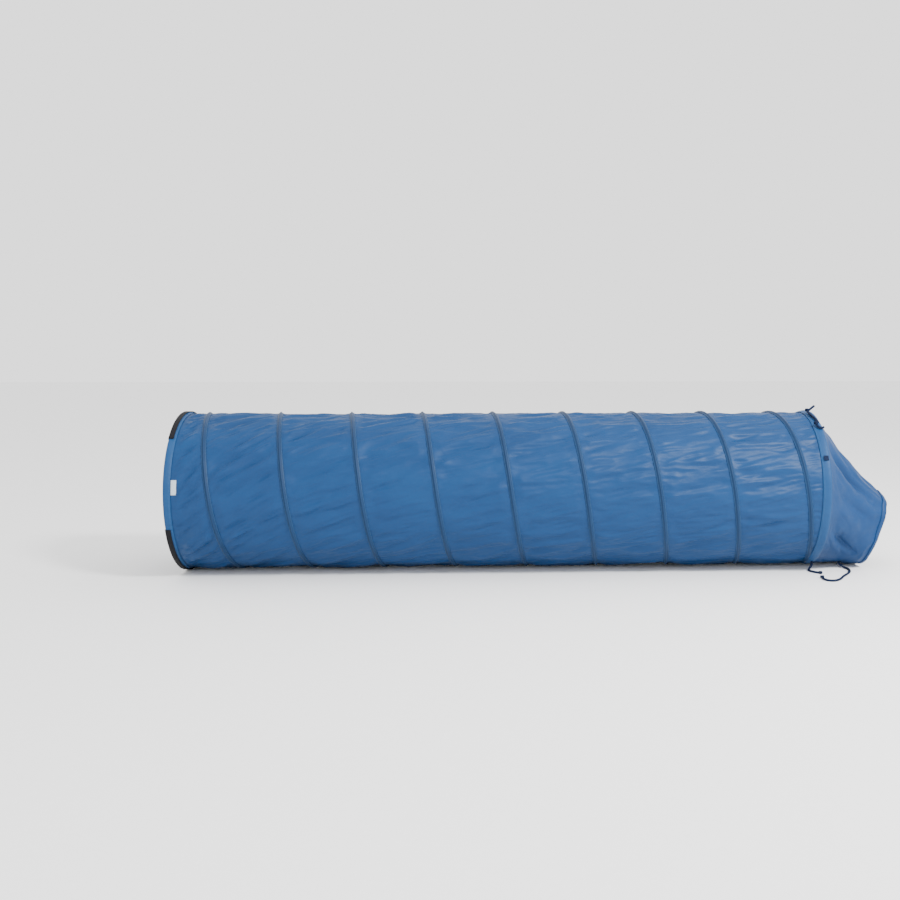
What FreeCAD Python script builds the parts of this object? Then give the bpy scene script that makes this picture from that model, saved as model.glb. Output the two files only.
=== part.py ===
"""Agility tunnel for dogs: a nylon tube on a spiral spring wire.

The tube lies along X with its entry at -X and its exit, which carries a limp
tail sleeve, at +X.  Z is up and the floor is z = 0.  All sizes are millimetres.
Angles round the tube start at the bottom and turn towards +Y, so 90 is the
back, 180 the top and 270 the front.
"""
import FreeCAD, Part
import math
import os

from FreeCAD import Vector

# --- Driving dimensions -------------------------------------------------------
HOOP_DIAMETER = 558.8          # across the end hems: 22 in
TUNNEL_LENGTH = 2226.0         # entry hem to exit hem, as it stands
TURNS = 9                      # turns of the spiral wire
SPIRAL_LEAD = 40.5             # how far before the entry face the spiral would start
SPIRAL_STOP = 12.0             # how far short of the exit face its last turn would end

ENTRY_HEM_WIDTH = 24.0
EXIT_HEM_WIDTH = 30.0
HEM_WALL = 1.4
HOOP_WIRE_DIAMETER = 3.0

COIL_WIRE_DIAMETER = 3.0
COIL_END_GAP = 1.0             # between an end of the spiral and the hoop beside it
WIRE_SIDES = 12
CASING_WIDTH = 18.0
CASING_HEIGHT = 6.4
CASING_CORNER = 1.6
CASING_END_LAP = 1.0           # cut off square at the hem
SKIN_THICKNESS = 1.0

FERRULE_WALL = 0.7
FERRULE_LENGTH = 24.0
GUARD_THICKNESS = 1.0
GUARD_WIDTH = 18.0
GUARD_UPPER_ARC = (136.0, 224.0)
GUARD_LOWER_ARC = (290.0, 430.0)
LABEL_WIDTH = 18.0
LABEL_THICKNESS = 0.5
LABEL_ARC = (255.0, 265.5)

TAIL_WALL = 1.0
TAIL_RADIUS_INSET = 4.4        # tail sleeve's root, inside the hem's outer radius
TAIL_REACH_TOP = 258.0         # the mouth's upper edge beyond the exit hem
TAIL_REACH_BOTTOM = 176.0
TAIL_MOUTH_HEIGHT = 258.0
TAIL_MOUTH_HALF_WIDTH = 150.0
TAIL_SQUARENESS = 0.7          # exponent of the mouth's outline: 1 is an ellipse
TAIL_OUTLINE_POINTS = 32
TAIL_HEM_SHARE = 0.06          # share of the tail's length taken by its hem
TAIL_HEM_GAP_SHARE = 0.002
TAIL_HEM_THICKNESS = 3.0
TAIL_HEM_OUTSET = 1.0          # the hem stands proud of the sleeve
TAIL_OVERCUT_SHARE = 0.02      # the hollow runs out past both ends

TIE_DIAMETER = 8.0
TIE_SETBACK = 0.45             # share of the shorter run that a bend takes up
KNOT_DIAMETER = 18.0
KNOT_HEIGHT = 7.0              # centre of a knot that lies, pressed flat, on the floor
TAB_WIDTH = 16.0
TAB_INSET = 6.0                # from the exit hem's outer face
TAB_THICKNESS = 2.0
TAB_ARC = (240.0, 243.5)

SEWN_GAP = 0.3                 # between cloth pieces that are sewn together
WIRE_PLAY = 0.3                # between a wire and the sleeve that it lies in
HEM_PLAY = 0.2                 # between a hem's wall and what lies in it
CRIMP_PLAY = 0.1               # between a hoop's wire and its ferrule
TIE_CLEARANCE = 0.7            # between a tie and the hem that it lies on
FLOOR_GAP = 2.0                # the tail's underside above the floor
OVERCUT = 0.5                  # a cutter runs out past the face that it cuts

# --- Worked-out places --------------------------------------------------------
FERRULE_RADIUS = HOOP_WIRE_DIAMETER / 2 + CRIMP_PLAY + FERRULE_WALL
HEM_THICKNESS = 2 * (HEM_WALL + HEM_PLAY + FERRULE_RADIUS)
HEM_RADIUS = HOOP_DIAMETER / 2
HEM_INNER_RADIUS = HEM_RADIUS - HEM_THICKNESS
HOOP_RADIUS = HEM_RADIUS - HEM_THICKNESS / 2
HOOP_WIRE_INSET = HEM_WALL + WIRE_PLAY + FERRULE_RADIUS

COIL_RADIUS = HEM_INNER_RADIUS + HEM_WALL + HEM_PLAY + COIL_WIRE_DIAMETER / 2
CASING_RADIUS = COIL_RADIUS + CASING_HEIGHT / 2
CASING_INNER_RADIUS = COIL_RADIUS - CASING_HEIGHT / 2
SKIN_RADIUS = min(CASING_INNER_RADIUS, HEM_INNER_RADIUS) - SEWN_GAP
AXIS_HEIGHT = CASING_RADIUS    # the casings just reach the floor; the hems are pressed flat on it

ENTRY_X = -(TUNNEL_LENGTH + TAIL_REACH_TOP + SEWN_GAP - GUARD_THICKNESS) / 2
EXIT_X = ENTRY_X + TUNNEL_LENGTH
PITCH = (TUNNEL_LENGTH + SPIRAL_LEAD - SPIRAL_STOP) / TURNS
SPIRAL_X = ENTRY_X - SPIRAL_LEAD
COIL_END_INSET = HOOP_WIRE_INSET + (HOOP_WIRE_DIAMETER + COIL_WIRE_DIAMETER) / 2 + COIL_END_GAP
COIL_START_X = ENTRY_X + COIL_END_INSET
COIL_END_X = EXIT_X - COIL_END_INSET

OUT = "parts"
FLOOR_BLOCK = 2 * TUNNEL_LENGTH
X_AXIS = Vector(1, 0, 0)


def save(shape, name):
    """Write one piece, as a single closed solid, to its own file."""
    solid = shape.Solids[0] if len(shape.Solids) == 1 else shape
    if not solid.isValid() or not solid.Solids:
        raise ValueError(name + " is not a valid solid")
    solid.exportStep(os.path.join(OUT, name + ".step"))
    box = solid.BoundBox
    print(f"{name:24s} {solid.Volume:12.1f} mm3  x {box.XMin:8.1f} {box.XMax:8.1f}"
          f"  z {box.ZMin:7.2f} {box.ZMax:7.2f}")


def on_ring(x, radius, degrees):
    """A point at a distance from the tube's axis, at an angle round it."""
    turn = math.radians(degrees)
    return Vector(x, radius * math.sin(turn), AXIS_HEIGHT - radius * math.cos(turn))


def tube(x0, x1, inner, outer):
    """A straight ring or pipe round the tube's axis."""
    start = Vector(x0, 0, AXIS_HEIGHT)
    body = Part.makeCylinder(outer, x1 - x0, start, X_AXIS)
    return body.cut(Part.makeCylinder(inner, x1 - x0, start, X_AXIS))


def slab(x0, x1):
    """A disc wider than the tube, to cut pieces off square."""
    return Part.makeCylinder(HOOP_DIAMETER, x1 - x0, Vector(x0, 0, AXIS_HEIGHT), X_AXIS)


def sector(x0, x1, inner, outer, arc):
    """Part of such a ring, between two angles."""
    first, last = arc
    corners = [on_ring(x0, inner, first), on_ring(x1, inner, first),
               on_ring(x1, outer, first), on_ring(x0, outer, first)]
    face = Part.Face(Part.makePolygon(corners + corners[:1]))
    return face.revolve(Vector(0, 0, AXIS_HEIGHT), Vector(-1, 0, 0), -(last - first))


def above_floor(shape):
    """Press a piece flat where it meets the floor."""
    block = Part.makeBox(FLOOR_BLOCK, FLOOR_BLOCK, HEM_RADIUS,
                         Vector(-FLOOR_BLOCK / 2, -FLOOR_BLOCK / 2, -HEM_RADIUS))
    return shape.cut(block)


def round_ring(x, ring_radius, section_radius, arc=(0.0, 360.0)):
    """A round rod bent round the tube's axis."""
    circle = Part.makeCircle(section_radius, on_ring(x, ring_radius, arc[0]),
                             on_ring(0, 1, arc[0] + 90) - Vector(0, 0, AXIS_HEIGHT))
    face = Part.Face(Part.Wire(circle))
    return face.revolve(Vector(0, 0, AXIS_HEIGHT), Vector(-1, 0, 0), -(arc[1] - arc[0]))


# --- The spiral ---------------------------------------------------------------
def spiral_angle(x):
    """Angle that the spiral has turned when it reaches x."""
    return 360.0 * (x - SPIRAL_X) / PITCH


def spiral_x(degrees):
    return SPIRAL_X + PITCH * degrees / 360.0


def spiral_solid(section, radius, first, last):
    """A solid of constant section that follows the spiral between two angles."""
    turns = (last - first) / 360.0
    helix = Part.Wire(Part.makeHelix(PITCH, PITCH * turns, radius).Edges)
    placed = section.copy()
    placed.translate(Vector(radius, 0, 0))
    solid = helix.makePipeShell([placed], True, True)
    # The helix climbs its own Z from +X towards +Y: lay Z along the tube, +X down.
    lie = FreeCAD.Rotation(Vector(0, 0, -1), Vector(0, 1, 0), Vector(1, 0, 0), "XYZ")
    roll = FreeCAD.Rotation(X_AXIS, first)
    solid.Placement = FreeCAD.Placement(Vector(spiral_x(first), 0, AXIS_HEIGHT), roll.multiply(lie))
    return solid


def closed_section(points):
    """A closed outline from points in X and Z."""
    corners = [Vector(x, 0, z) for x, z in points]
    return Part.makePolygon(corners + corners[:1])


def casing_section():
    """The casing's outer outline: a flat sleeve with its corners cut off."""
    w, h, c = CASING_WIDTH / 2, CASING_HEIGHT / 2, CASING_CORNER
    return closed_section([(-h, c - w), (c - h, -w), (h - c, -w), (h, c - w),
                           (h, w - c), (h - c, w), (c - h, w), (-h, w - c)])


def wire_section(diameter):
    """A round wire, or the channel for one, as a many-sided outline."""
    turns = [2 * math.pi * (i + 0.5) / WIRE_SIDES for i in range(WIRE_SIDES)]
    return closed_section([(diameter / 2 * math.cos(t), diameter / 2 * math.sin(t)) for t in turns])


# --- End hoops ----------------------------------------------------------------
def spiral_slot(edge_x, depth):
    """The gap in a hem's inner edge that lets the spiral wire in."""
    reach = COIL_WIRE_DIAMETER / 2 + WIRE_PLAY
    low, high = min(edge_x, edge_x + depth), max(edge_x, edge_x + depth)
    margin = math.degrees(COIL_WIRE_DIAMETER / COIL_RADIUS)
    arc = (spiral_angle(low - reach) - margin, spiral_angle(high + reach) + margin)
    return sector(low - OVERCUT, high + OVERCUT, COIL_RADIUS - reach, COIL_RADIUS + reach, arc)


def make_hem(face_x, width, inward):
    """A hollow hem round a hoop; inward is the way from its outer face into the tunnel."""
    low, high = sorted((face_x, face_x + inward * width))
    outer = tube(low, high, HEM_INNER_RADIUS, HEM_RADIUS)
    inside = tube(low + HEM_WALL, high - HEM_WALL, HEM_INNER_RADIUS + HEM_WALL, HEM_RADIUS - HEM_WALL)
    slot = spiral_slot(face_x + inward * width, -inward * HEM_WALL)
    return above_floor(outer.cut(inside).cut(slot))


def make_hoop(face_x, inward):
    return round_ring(face_x + inward * HOOP_WIRE_INSET, HOOP_RADIUS, HOOP_WIRE_DIAMETER / 2)


def make_ferrule(face_x, inward):
    """The crimped sleeve that closes the hoop's wire, at the bottom."""
    half_arc = math.degrees(FERRULE_LENGTH / 2 / HOOP_RADIUS)
    arc = (-half_arc, half_arc)
    x = face_x + inward * HOOP_WIRE_INSET
    bore = FERRULE_RADIUS - FERRULE_WALL
    past_ends = (arc[0] - OVERCUT, arc[1] + OVERCUT)
    return round_ring(x, HOOP_RADIUS, FERRULE_RADIUS, arc).cut(
        round_ring(x, HOOP_RADIUS, bore, past_ends))


def make_guard(arc):
    """Webbing folded over the entry's rim: a face strip and an outer strip."""
    face_strip = sector(ENTRY_X - GUARD_THICKNESS, ENTRY_X, HEM_INNER_RADIUS,
                        HEM_RADIUS + SEWN_GAP + GUARD_THICKNESS, arc)
    outer_strip = sector(ENTRY_X, ENTRY_X + GUARD_WIDTH, HEM_RADIUS + SEWN_GAP,
                         HEM_RADIUS + SEWN_GAP + GUARD_THICKNESS, arc)
    return above_floor(face_strip.fuse(outer_strip).removeSplitter())


# --- Spiral wire, its casing and the cloth between ----------------------------
def station(turn):
    """Where a turn ends: the spiral's lowest point, or the end of the cloth."""
    if turn == 0:
        return ENTRY_X
    if turn == TURNS:
        return EXIT_X
    return spiral_x(360.0 * turn)


def make_coil_turn(turn):
    first = max(360.0 * (turn - 1), spiral_angle(COIL_START_X))
    last = 360.0 * turn if turn < TURNS else spiral_angle(COIL_END_X)
    return spiral_solid(wire_section(COIL_WIRE_DIAMETER), COIL_RADIUS, first, last)


def make_casing(turn):
    """One turn of the sewn sleeve; it stops at the edges of the two hems."""
    lap = CASING_WIDTH / 2 + CASING_END_LAP
    entry_edge = ENTRY_X + ENTRY_HEM_WIDTH + SEWN_GAP
    exit_edge = EXIT_X - EXIT_HEM_WIDTH - SEWN_GAP
    first = max(360.0 * (turn - 1), spiral_angle(entry_edge - lap))
    last = min(360.0 * turn, spiral_angle(exit_edge + lap))
    sleeve = spiral_solid(casing_section(), COIL_RADIUS, first, last)
    channel = wire_section(COIL_WIRE_DIAMETER + 2 * WIRE_PLAY)
    sleeve = sleeve.cut(spiral_solid(channel, COIL_RADIUS, first, last))
    if turn == 1:
        sleeve = sleeve.cut(slab(entry_edge - 2 * lap, entry_edge))
    if turn == TURNS:
        sleeve = sleeve.cut(slab(exit_edge, exit_edge + 2 * lap))
    return sleeve


def make_panel(turn):
    return tube(station(turn - 1), station(turn), SKIN_RADIUS - SKIN_THICKNESS, SKIN_RADIUS)


# --- Tail sleeve --------------------------------------------------------------
def tail_point(share, degrees, outset):
    """A point of the tail's skin: share 0 is the round root, 1 the mouth.

    The height and width go from the root's circle to the mouth's flattened
    outline; x grows evenly with height, so that every outline lies in a plane.
    """
    turn = math.radians(degrees)
    c, s = math.cos(turn), math.sin(turn)
    root_radius = HEM_RADIUS - TAIL_RADIUS_INSET + outset
    half_height = TAIL_MOUTH_HEIGHT / 2
    mouth_y = (TAIL_MOUTH_HALF_WIDTH + outset) * math.copysign(abs(c) ** TAIL_SQUARENESS, c)
    mouth_z = (half_height + outset) * math.copysign(abs(s) ** TAIL_SQUARENESS, s)
    y = root_radius * c * (1 - share) + mouth_y * share
    rise = root_radius * s * (1 - share) + mouth_z * share
    full_rise = root_radius * (1 - share) + (half_height + outset) * share
    height = AXIS_HEIGHT * (1 - share) + (FLOOR_GAP + half_height) * share
    reach = TAIL_REACH_BOTTOM + (TAIL_REACH_TOP - TAIL_REACH_BOTTOM) * (rise / full_rise + 1) / 2
    return Vector(EXIT_X + SEWN_GAP + reach * share, y, height + rise)


def tail_outline(share, outset):
    turns = [360.0 * (i + 0.5) / TAIL_OUTLINE_POINTS for i in range(TAIL_OUTLINE_POINTS)]
    points = [tail_point(share, degrees, outset) for degrees in turns]
    curve = Part.BSplineCurve()
    curve.interpolate(points, True)
    return Part.Wire(curve.toShape())


def tail_shell(start, end, wall, outset):
    outer = Part.makeLoft([tail_outline(start, outset), tail_outline(end, outset)], True, True)
    inner = Part.makeLoft([tail_outline(start - TAIL_OVERCUT_SHARE, outset - wall),
                           tail_outline(end + TAIL_OVERCUT_SHARE, outset - wall)], True, True)
    return outer.cut(inner)


def make_tail():
    return tail_shell(0.0, 1.0 - TAIL_HEM_SHARE - TAIL_HEM_GAP_SHARE, TAIL_WALL, 0.0)


def make_tail_hem():
    return tail_shell(1.0 - TAIL_HEM_SHARE, 1.0, TAIL_HEM_THICKNESS, TAIL_HEM_OUTSET)


# --- Ties ---------------------------------------------------------------------
def at_exit(dx, y, z):
    """A point given from the exit hem's outer face."""
    return Vector(EXIT_X + dx, y, z)


def on_hem(dx, degrees, lift):
    return on_ring(EXIT_X + dx, HEM_RADIUS + lift, degrees)


def make_tie(name, route):
    """A round tie: straight runs joined by the largest tangent arcs."""
    edges = []
    radii = []
    last = route[0]
    for before, corner, after in zip(route, route[1:], route[2:]):
        into, out = (corner - before), (after - corner)
        setback = TIE_SETBACK * min(into.Length, out.Length)
        half_turn = into.getAngle(out) / 2
        radius = setback / math.tan(half_turn)
        arc_start = corner - Vector(into).normalize() * setback
        arc_end = corner + Vector(out).normalize() * setback
        inside = Vector(arc_end - corner + (arc_start - corner)).normalize()
        centre = corner + inside * (radius / math.cos(half_turn))
        arc_middle = centre - inside * radius
        edges.append(Part.LineSegment(last, arc_start).toShape())
        edges.append(Part.Arc(arc_start, arc_middle, arc_end).toShape())
        radii.append(radius)
        last = arc_end
    edges.append(Part.LineSegment(last, route[-1]).toShape())
    path = Part.Wire(edges)
    start = Part.Wire(Part.makeCircle(TIE_DIAMETER / 2, route[0], route[1] - route[0]))
    solid = path.makePipeShell([start], True, False)
    section = math.pi * TIE_DIAMETER ** 2 / 4
    print(f"{name}: length {path.Length:.1f}, tightest bend {min(radii):.1f},"
          f" volume over section x length {solid.Volume / section / path.Length:.4f}")
    return solid


def make_knot(centre):
    """A tie's knotted end; one on the floor is pressed flat there."""
    return above_floor(Part.makeSphere(KNOT_DIAMETER / 2, centre))


LYING = TIE_DIAMETER / 2
TIE_LIFT = LYING + TIE_CLEARANCE
KNOT_LIFT = KNOT_DIAMETER / 2 + HEM_PLAY
TIES = {
    "lower_tie_short": [on_hem(-12, 333.4, 0), on_hem(-14, 333.0, 14), at_exit(-27, -140, LYING),
                        at_exit(-33, -161, LYING), at_exit(-25, -183, LYING), at_exit(-10, -196, LYING)],
    "lower_tie_long": [at_exit(92, -98, 17.5), at_exit(105, -113, LYING), at_exit(116, -139, LYING),
                       at_exit(108, -178, LYING), at_exit(85, -215, LYING), at_exit(57, -250, LYING),
                       at_exit(34, -290, LYING), at_exit(6, -316, LYING), at_exit(-16, -312, LYING),
                       at_exit(-26, -292, LYING), at_exit(-22, -270, LYING)],
    "upper_tie_back": [on_hem(-14, 190.0, TIE_LIFT + 2), on_hem(-5, 189.0, 13), on_hem(9, 187.5, 20)],
    "upper_tie_front": [on_hem(-21, 192.0, TIE_LIFT), on_hem(-19, 200.0, TIE_LIFT),
                        on_hem(-12, 205.5, TIE_LIFT), on_hem(-11, 210.0, TIE_LIFT)],
    "side_tie": [on_hem(-19, 213.0, TIE_LIFT), on_hem(-12, 218.0, TIE_LIFT), on_hem(2, 215.5, TIE_LIFT)],
}
KNOTS = {
    "lower_tie_short_knot": at_exit(-5, -200, KNOT_HEIGHT),
    "lower_tie_long_knot": at_exit(-21, -264, KNOT_HEIGHT),
    "upper_tie_knot": on_hem(-20, 190.5, KNOT_LIFT),
    "side_tie_knot": on_hem(-21, 212.0, KNOT_LIFT),
}


def make_label():
    start = ENTRY_X + ENTRY_HEM_WIDTH + SEWN_GAP
    return sector(start, start + LABEL_WIDTH, SKIN_RADIUS, SKIN_RADIUS + LABEL_THICKNESS, LABEL_ARC)


def make_tie_tab():
    """The stitched patch that holds the side tie."""
    end = EXIT_X - TAB_INSET
    return sector(end - TAB_WIDTH, end, HEM_RADIUS, HEM_RADIUS + TAB_THICKNESS, TAB_ARC)


def build():
    os.makedirs(OUT, exist_ok=True)
    save(make_hoop(ENTRY_X, 1), "entry_hoop_wire")
    save(make_ferrule(ENTRY_X, 1), "entry_hoop_ferrule")
    save(make_hem(ENTRY_X, ENTRY_HEM_WIDTH, 1), "entry_hem")
    save(make_guard(GUARD_UPPER_ARC), "entry_guard_upper")
    save(make_guard(GUARD_LOWER_ARC), "entry_guard_lower")
    save(make_label(), "care_label")
    for turn in range(1, TURNS + 1):
        save(make_coil_turn(turn), f"coil_turn_{turn}")
        save(make_casing(turn), f"casing_{turn}")
        save(make_panel(turn), f"panel_{turn}")
    save(make_hoop(EXIT_X, -1), "exit_hoop_wire")
    save(make_ferrule(EXIT_X, -1), "exit_hoop_ferrule")
    save(make_hem(EXIT_X, EXIT_HEM_WIDTH, -1), "exit_hem")
    save(make_tail(), "tail_sleeve")
    save(make_tail_hem(), "tail_hem")
    for name, route in TIES.items():
        save(make_tie(name, route), name)
    for name, centre in KNOTS.items():
        save(make_knot(centre), name)
    save(make_tie_tab(), "tie_tab")


build()
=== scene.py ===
# %% [markdown]
# # A dog's agility tunnel
# The tunnel is a nylon tube sewn over a spiral of spring wire. A wire hoop
# stiffens each end, black webbing guards the rim of the entry, and a limp
# sleeve of cloth hangs past the exit, with a few tie cords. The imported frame
# gives every size and place, so this lesson starts by loading it.

# %% Load the frame
import math

import bmesh
import bpy
import numpy as np
from mathutils import Matrix, Vector, noise


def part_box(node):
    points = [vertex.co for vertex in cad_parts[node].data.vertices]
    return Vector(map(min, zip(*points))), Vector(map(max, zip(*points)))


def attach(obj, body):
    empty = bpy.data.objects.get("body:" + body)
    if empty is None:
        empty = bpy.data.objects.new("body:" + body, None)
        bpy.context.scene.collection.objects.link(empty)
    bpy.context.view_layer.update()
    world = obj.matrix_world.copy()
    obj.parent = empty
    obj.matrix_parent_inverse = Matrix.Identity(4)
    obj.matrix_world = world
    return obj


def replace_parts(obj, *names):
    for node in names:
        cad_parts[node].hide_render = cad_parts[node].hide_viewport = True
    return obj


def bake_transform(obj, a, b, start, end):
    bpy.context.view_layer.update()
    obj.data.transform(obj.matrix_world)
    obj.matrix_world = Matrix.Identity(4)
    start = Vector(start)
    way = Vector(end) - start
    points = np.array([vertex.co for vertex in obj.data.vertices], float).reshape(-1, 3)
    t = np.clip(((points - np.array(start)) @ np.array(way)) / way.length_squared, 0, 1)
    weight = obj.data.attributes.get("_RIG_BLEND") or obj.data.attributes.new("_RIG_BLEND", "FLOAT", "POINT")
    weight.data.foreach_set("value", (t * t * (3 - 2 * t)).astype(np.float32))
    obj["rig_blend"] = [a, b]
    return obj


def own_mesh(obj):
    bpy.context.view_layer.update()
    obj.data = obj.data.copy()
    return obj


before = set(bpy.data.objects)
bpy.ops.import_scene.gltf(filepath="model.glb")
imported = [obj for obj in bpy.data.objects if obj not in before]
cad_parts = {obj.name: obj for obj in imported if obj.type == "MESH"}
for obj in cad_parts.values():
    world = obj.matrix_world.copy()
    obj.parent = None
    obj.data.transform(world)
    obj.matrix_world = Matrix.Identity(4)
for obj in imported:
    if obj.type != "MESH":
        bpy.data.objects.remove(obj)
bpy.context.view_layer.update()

# %% [markdown]
# ## Sizes read from the frame
# A spiral is fixed by its radius, its pitch and the place where it starts.
# They come from the boxes of the casing and the wire, so that the cloth made
# here meets the pieces of the design. Angles go round the tube from its
# lowest line: 90 degrees is the back, 180 the top and 270 the front.

# %% Sizes of the spiral and the hems
TURNS = sum(name.startswith("casing_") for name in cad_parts)
casing_low, casing_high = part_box("casing_2")
CASING_RADIUS = (casing_high.z - casing_low.z) / 2
AXIS_HEIGHT = (casing_high.z + casing_low.z) / 2
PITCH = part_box("coil_turn_4")[0].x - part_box("coil_turn_3")[0].x
WIRE_RADIUS = 0.0015
SPIRAL_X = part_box("coil_turn_2")[0].x + WIRE_RADIUS - PITCH
CASING_WIDTH = (casing_high.x - casing_low.x) - PITCH
ENTRY_X, ENTRY_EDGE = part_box("entry_hem")[0].x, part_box("entry_hem")[1].x
EXIT_EDGE, EXIT_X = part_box("exit_hem")[0].x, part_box("exit_hem")[1].x
HEM_RADIUS = (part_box("exit_hem")[1].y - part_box("exit_hem")[0].y) / 2
SKIN_RADIUS = (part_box("panel_5")[1].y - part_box("panel_5")[0].y) / 2
HEM_DEPTH = 0.0078
STATIONS = [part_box(f"panel_{turn}")[0].x for turn in range(1, TURNS + 1)] + [EXIT_X]


def on_ring(x, radius, degrees):
    """A point at a distance from the tube's axis, at an angle round it."""
    turn = math.radians(degrees)
    return Vector((x, radius * math.sin(turn), AXIS_HEIGHT - radius * math.cos(turn)))


def spiral_x(degrees):
    return SPIRAL_X + PITCH * degrees / 360


def polar(points):
    """Radius and angle in radians, from 0 to a full turn, of points round the tube's axis."""
    down = AXIS_HEIGHT - points[:, 2]
    return np.hypot(points[:, 1], down), np.arctan2(points[:, 1], down) % (2 * math.pi)


# %% [markdown]
# ## The camera
# The picture is taken from the tunnel's long side, a little above its axis,
# with a moderate lens, so that both ends bulge away from the middle. The
# camera comes first because the cords are judged by what it sees.

# %% The camera
CAMERA_ALONG = 1.0562          # from the entry's face, along the tunnel
CAMERA_AWAY = 3.501
CAMERA_ABOVE_AXIS = 0.500
CAMERA_TILT_DOWN = 0.1028      # radians
CAMERA_TURN = -0.0384
CAMERA_LENS = 39.21
CAMERA_SHIFT = -0.08

camera = bpy.data.objects.new("camera", bpy.data.cameras.new("camera"))
bpy.context.scene.collection.objects.link(camera)
camera.location = (ENTRY_X + CAMERA_ALONG, -CAMERA_AWAY, AXIS_HEIGHT + CAMERA_ABOVE_AXIS)
camera.rotation_euler = (math.pi / 2 - CAMERA_TILT_DOWN, 0, CAMERA_TURN)
camera.data.lens = CAMERA_LENS
camera.data.sensor_width = 36
camera.data.shift_x = CAMERA_SHIFT
camera.data.clip_end = 60
bpy.context.scene.camera = camera
print("camera at", [round(c, 3) for c in camera.location])

# %% [markdown]
# ## Small tools
# A finished piece is a mesh whose object stays at the origin. `keep_mesh`
# turns a bmesh into such an object, smooth-shaded, and `spin_profile` sweeps
# a closed outline round the tube's axis, with or without a climb along it:
# that one operator makes the hems, the guards, the casing and the wire.

# %% Helpers for meshes
MM = 0.001


def keep_mesh(name, bm, smooth=True):
    """A new object at the origin that holds the bmesh."""
    mesh = bpy.data.meshes.new(name)
    bm.to_mesh(mesh)
    bm.free()
    mesh.shade_smooth() if smooth else mesh.shade_flat()
    piece = bpy.data.objects.new(name, mesh)
    bpy.context.scene.collection.objects.link(piece)
    return piece


def profile_loop(bm, outline, degrees, climb_from=None):
    """Vertices of a closed outline of (x, radius) points, standing at an angle round the tube."""
    shift = 0 if climb_from is None else climb_from
    verts = [bm.verts.new(on_ring(x + shift, radius, degrees)) for x, radius in outline]
    return bm.faces.new(verts)


def spin_profile(outline, first, last, steps, climb=False):
    """A bmesh of the outline swept round the axis between two angles; climb follows the spiral."""
    bm = bmesh.new()
    whole = not climb and abs(last - first - 360) < 1e-6
    face = profile_loop(bm, outline, first, spiral_x(first) if climb else None)
    geom = list(face.edges) + list(face.verts) if whole else [face]
    rise = (PITCH * (last - first) / 360 / steps, 0, 0) if climb else (0, 0, 0)
    if whole:
        bmesh.ops.delete(bm, geom=[face], context="FACES_ONLY")
        geom = list(bm.edges) + list(bm.verts)
    bmesh.ops.spin(bm, geom=geom, cent=(0, 0, AXIS_HEIGHT), axis=(-1, 0, 0), dvec=rise,
                   angle=-math.radians(last - first), steps=steps, use_merge=whole)
    bmesh.ops.remove_doubles(bm, verts=bm.verts, dist=1e-6)
    bmesh.ops.recalc_face_normals(bm, faces=bm.faces)
    return bm


def rough_up(bm, amount, size, floor=0.0004):
    """Sewn cloth is never true: push each vertex a little, and keep it above the floor."""
    for vert in bm.verts:
        push = noise.noise_vector(vert.co / size) * amount
        vert.co += push
        vert.co.z = max(vert.co.z, floor)


def lay_uv(piece):
    """UV in metres: along the tunnel, and round it. A face at the wrap keeps its own side."""
    mesh = piece.data
    uv = mesh.uv_layers.get("UVMap") or mesh.uv_layers.new(name="UVMap")
    points = np.empty(len(mesh.vertices) * 3)
    mesh.vertices.foreach_get("co", points)
    points = points.reshape(-1, 3)
    corner = np.empty(len(mesh.loops), np.int32)
    mesh.loops.foreach_get("vertex_index", corner)
    starts = np.empty(len(mesh.polygons), np.int32)
    totals = np.empty(len(mesh.polygons), np.int32)
    mesh.polygons.foreach_get("loop_start", starts)
    mesh.polygons.foreach_get("loop_total", totals)
    turn = polar(points)[1][corner]
    own = np.repeat(turn[starts], totals)
    turn = own + (turn - own + math.pi) % (2 * math.pi) - math.pi
    flat = np.stack([points[corner, 0], turn * CASING_RADIUS], axis=1)
    uv.data.foreach_set("uv", flat.ravel())


def lay_spiral_uv(piece):
    """UV in metres for what follows the spiral: along its length, and across it."""
    lay_uv(piece)
    uv = piece.data.uv_layers["UVMap"]
    flat = np.empty(len(uv.data) * 2)
    uv.data.foreach_get("uv", flat)
    flat = flat.reshape(-1, 2)
    turn = flat[:, 1] / CASING_RADIUS / (2 * math.pi)
    climbed = (flat[:, 0] - SPIRAL_X) / PITCH
    whole = np.round(climbed - turn)
    along = (turn + whole) * 2 * math.pi * CASING_RADIUS
    across = (climbed - turn - whole) * PITCH
    uv.data.foreach_set("uv", np.stack([along, across], axis=1).ravel())


# %% [markdown]
# ## Shader maths as Python
# A material's pattern is arithmetic on sockets. `Wire` wraps one socket, so
# that `1 - mask` or `a * b` adds the Math node it needs, and `Finish` holds a
# material with its Principled shader. Its `node` method makes every other
# node: settings first, then the values or links of its sockets.

# %% A socket that does arithmetic, and a finish that holds it
class Wire:
    """One output socket; Python's operators on it add Math nodes."""

    def __init__(self, finish, socket):
        self.finish, self.socket = finish, socket

    def maths(self, operation, *others, flip=False):
        values = [self, *others]
        if flip:
            values.reverse()
        return self.finish.node("ShaderNodeMath", {"operation": operation}, dict(enumerate(values)))

    def __add__(self, other):
        return self.maths("ADD", other)

    def __sub__(self, other):
        return self.maths("SUBTRACT", other)

    def __rsub__(self, other):
        return self.maths("SUBTRACT", other, flip=True)

    def __mul__(self, other):
        return self.maths("MULTIPLY", other)

    def __lt__(self, other):
        return self.maths("LESS_THAN", other)

    def __gt__(self, other):
        return self.maths("GREATER_THAN", other)

    __radd__, __rmul__ = __add__, __mul__


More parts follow.
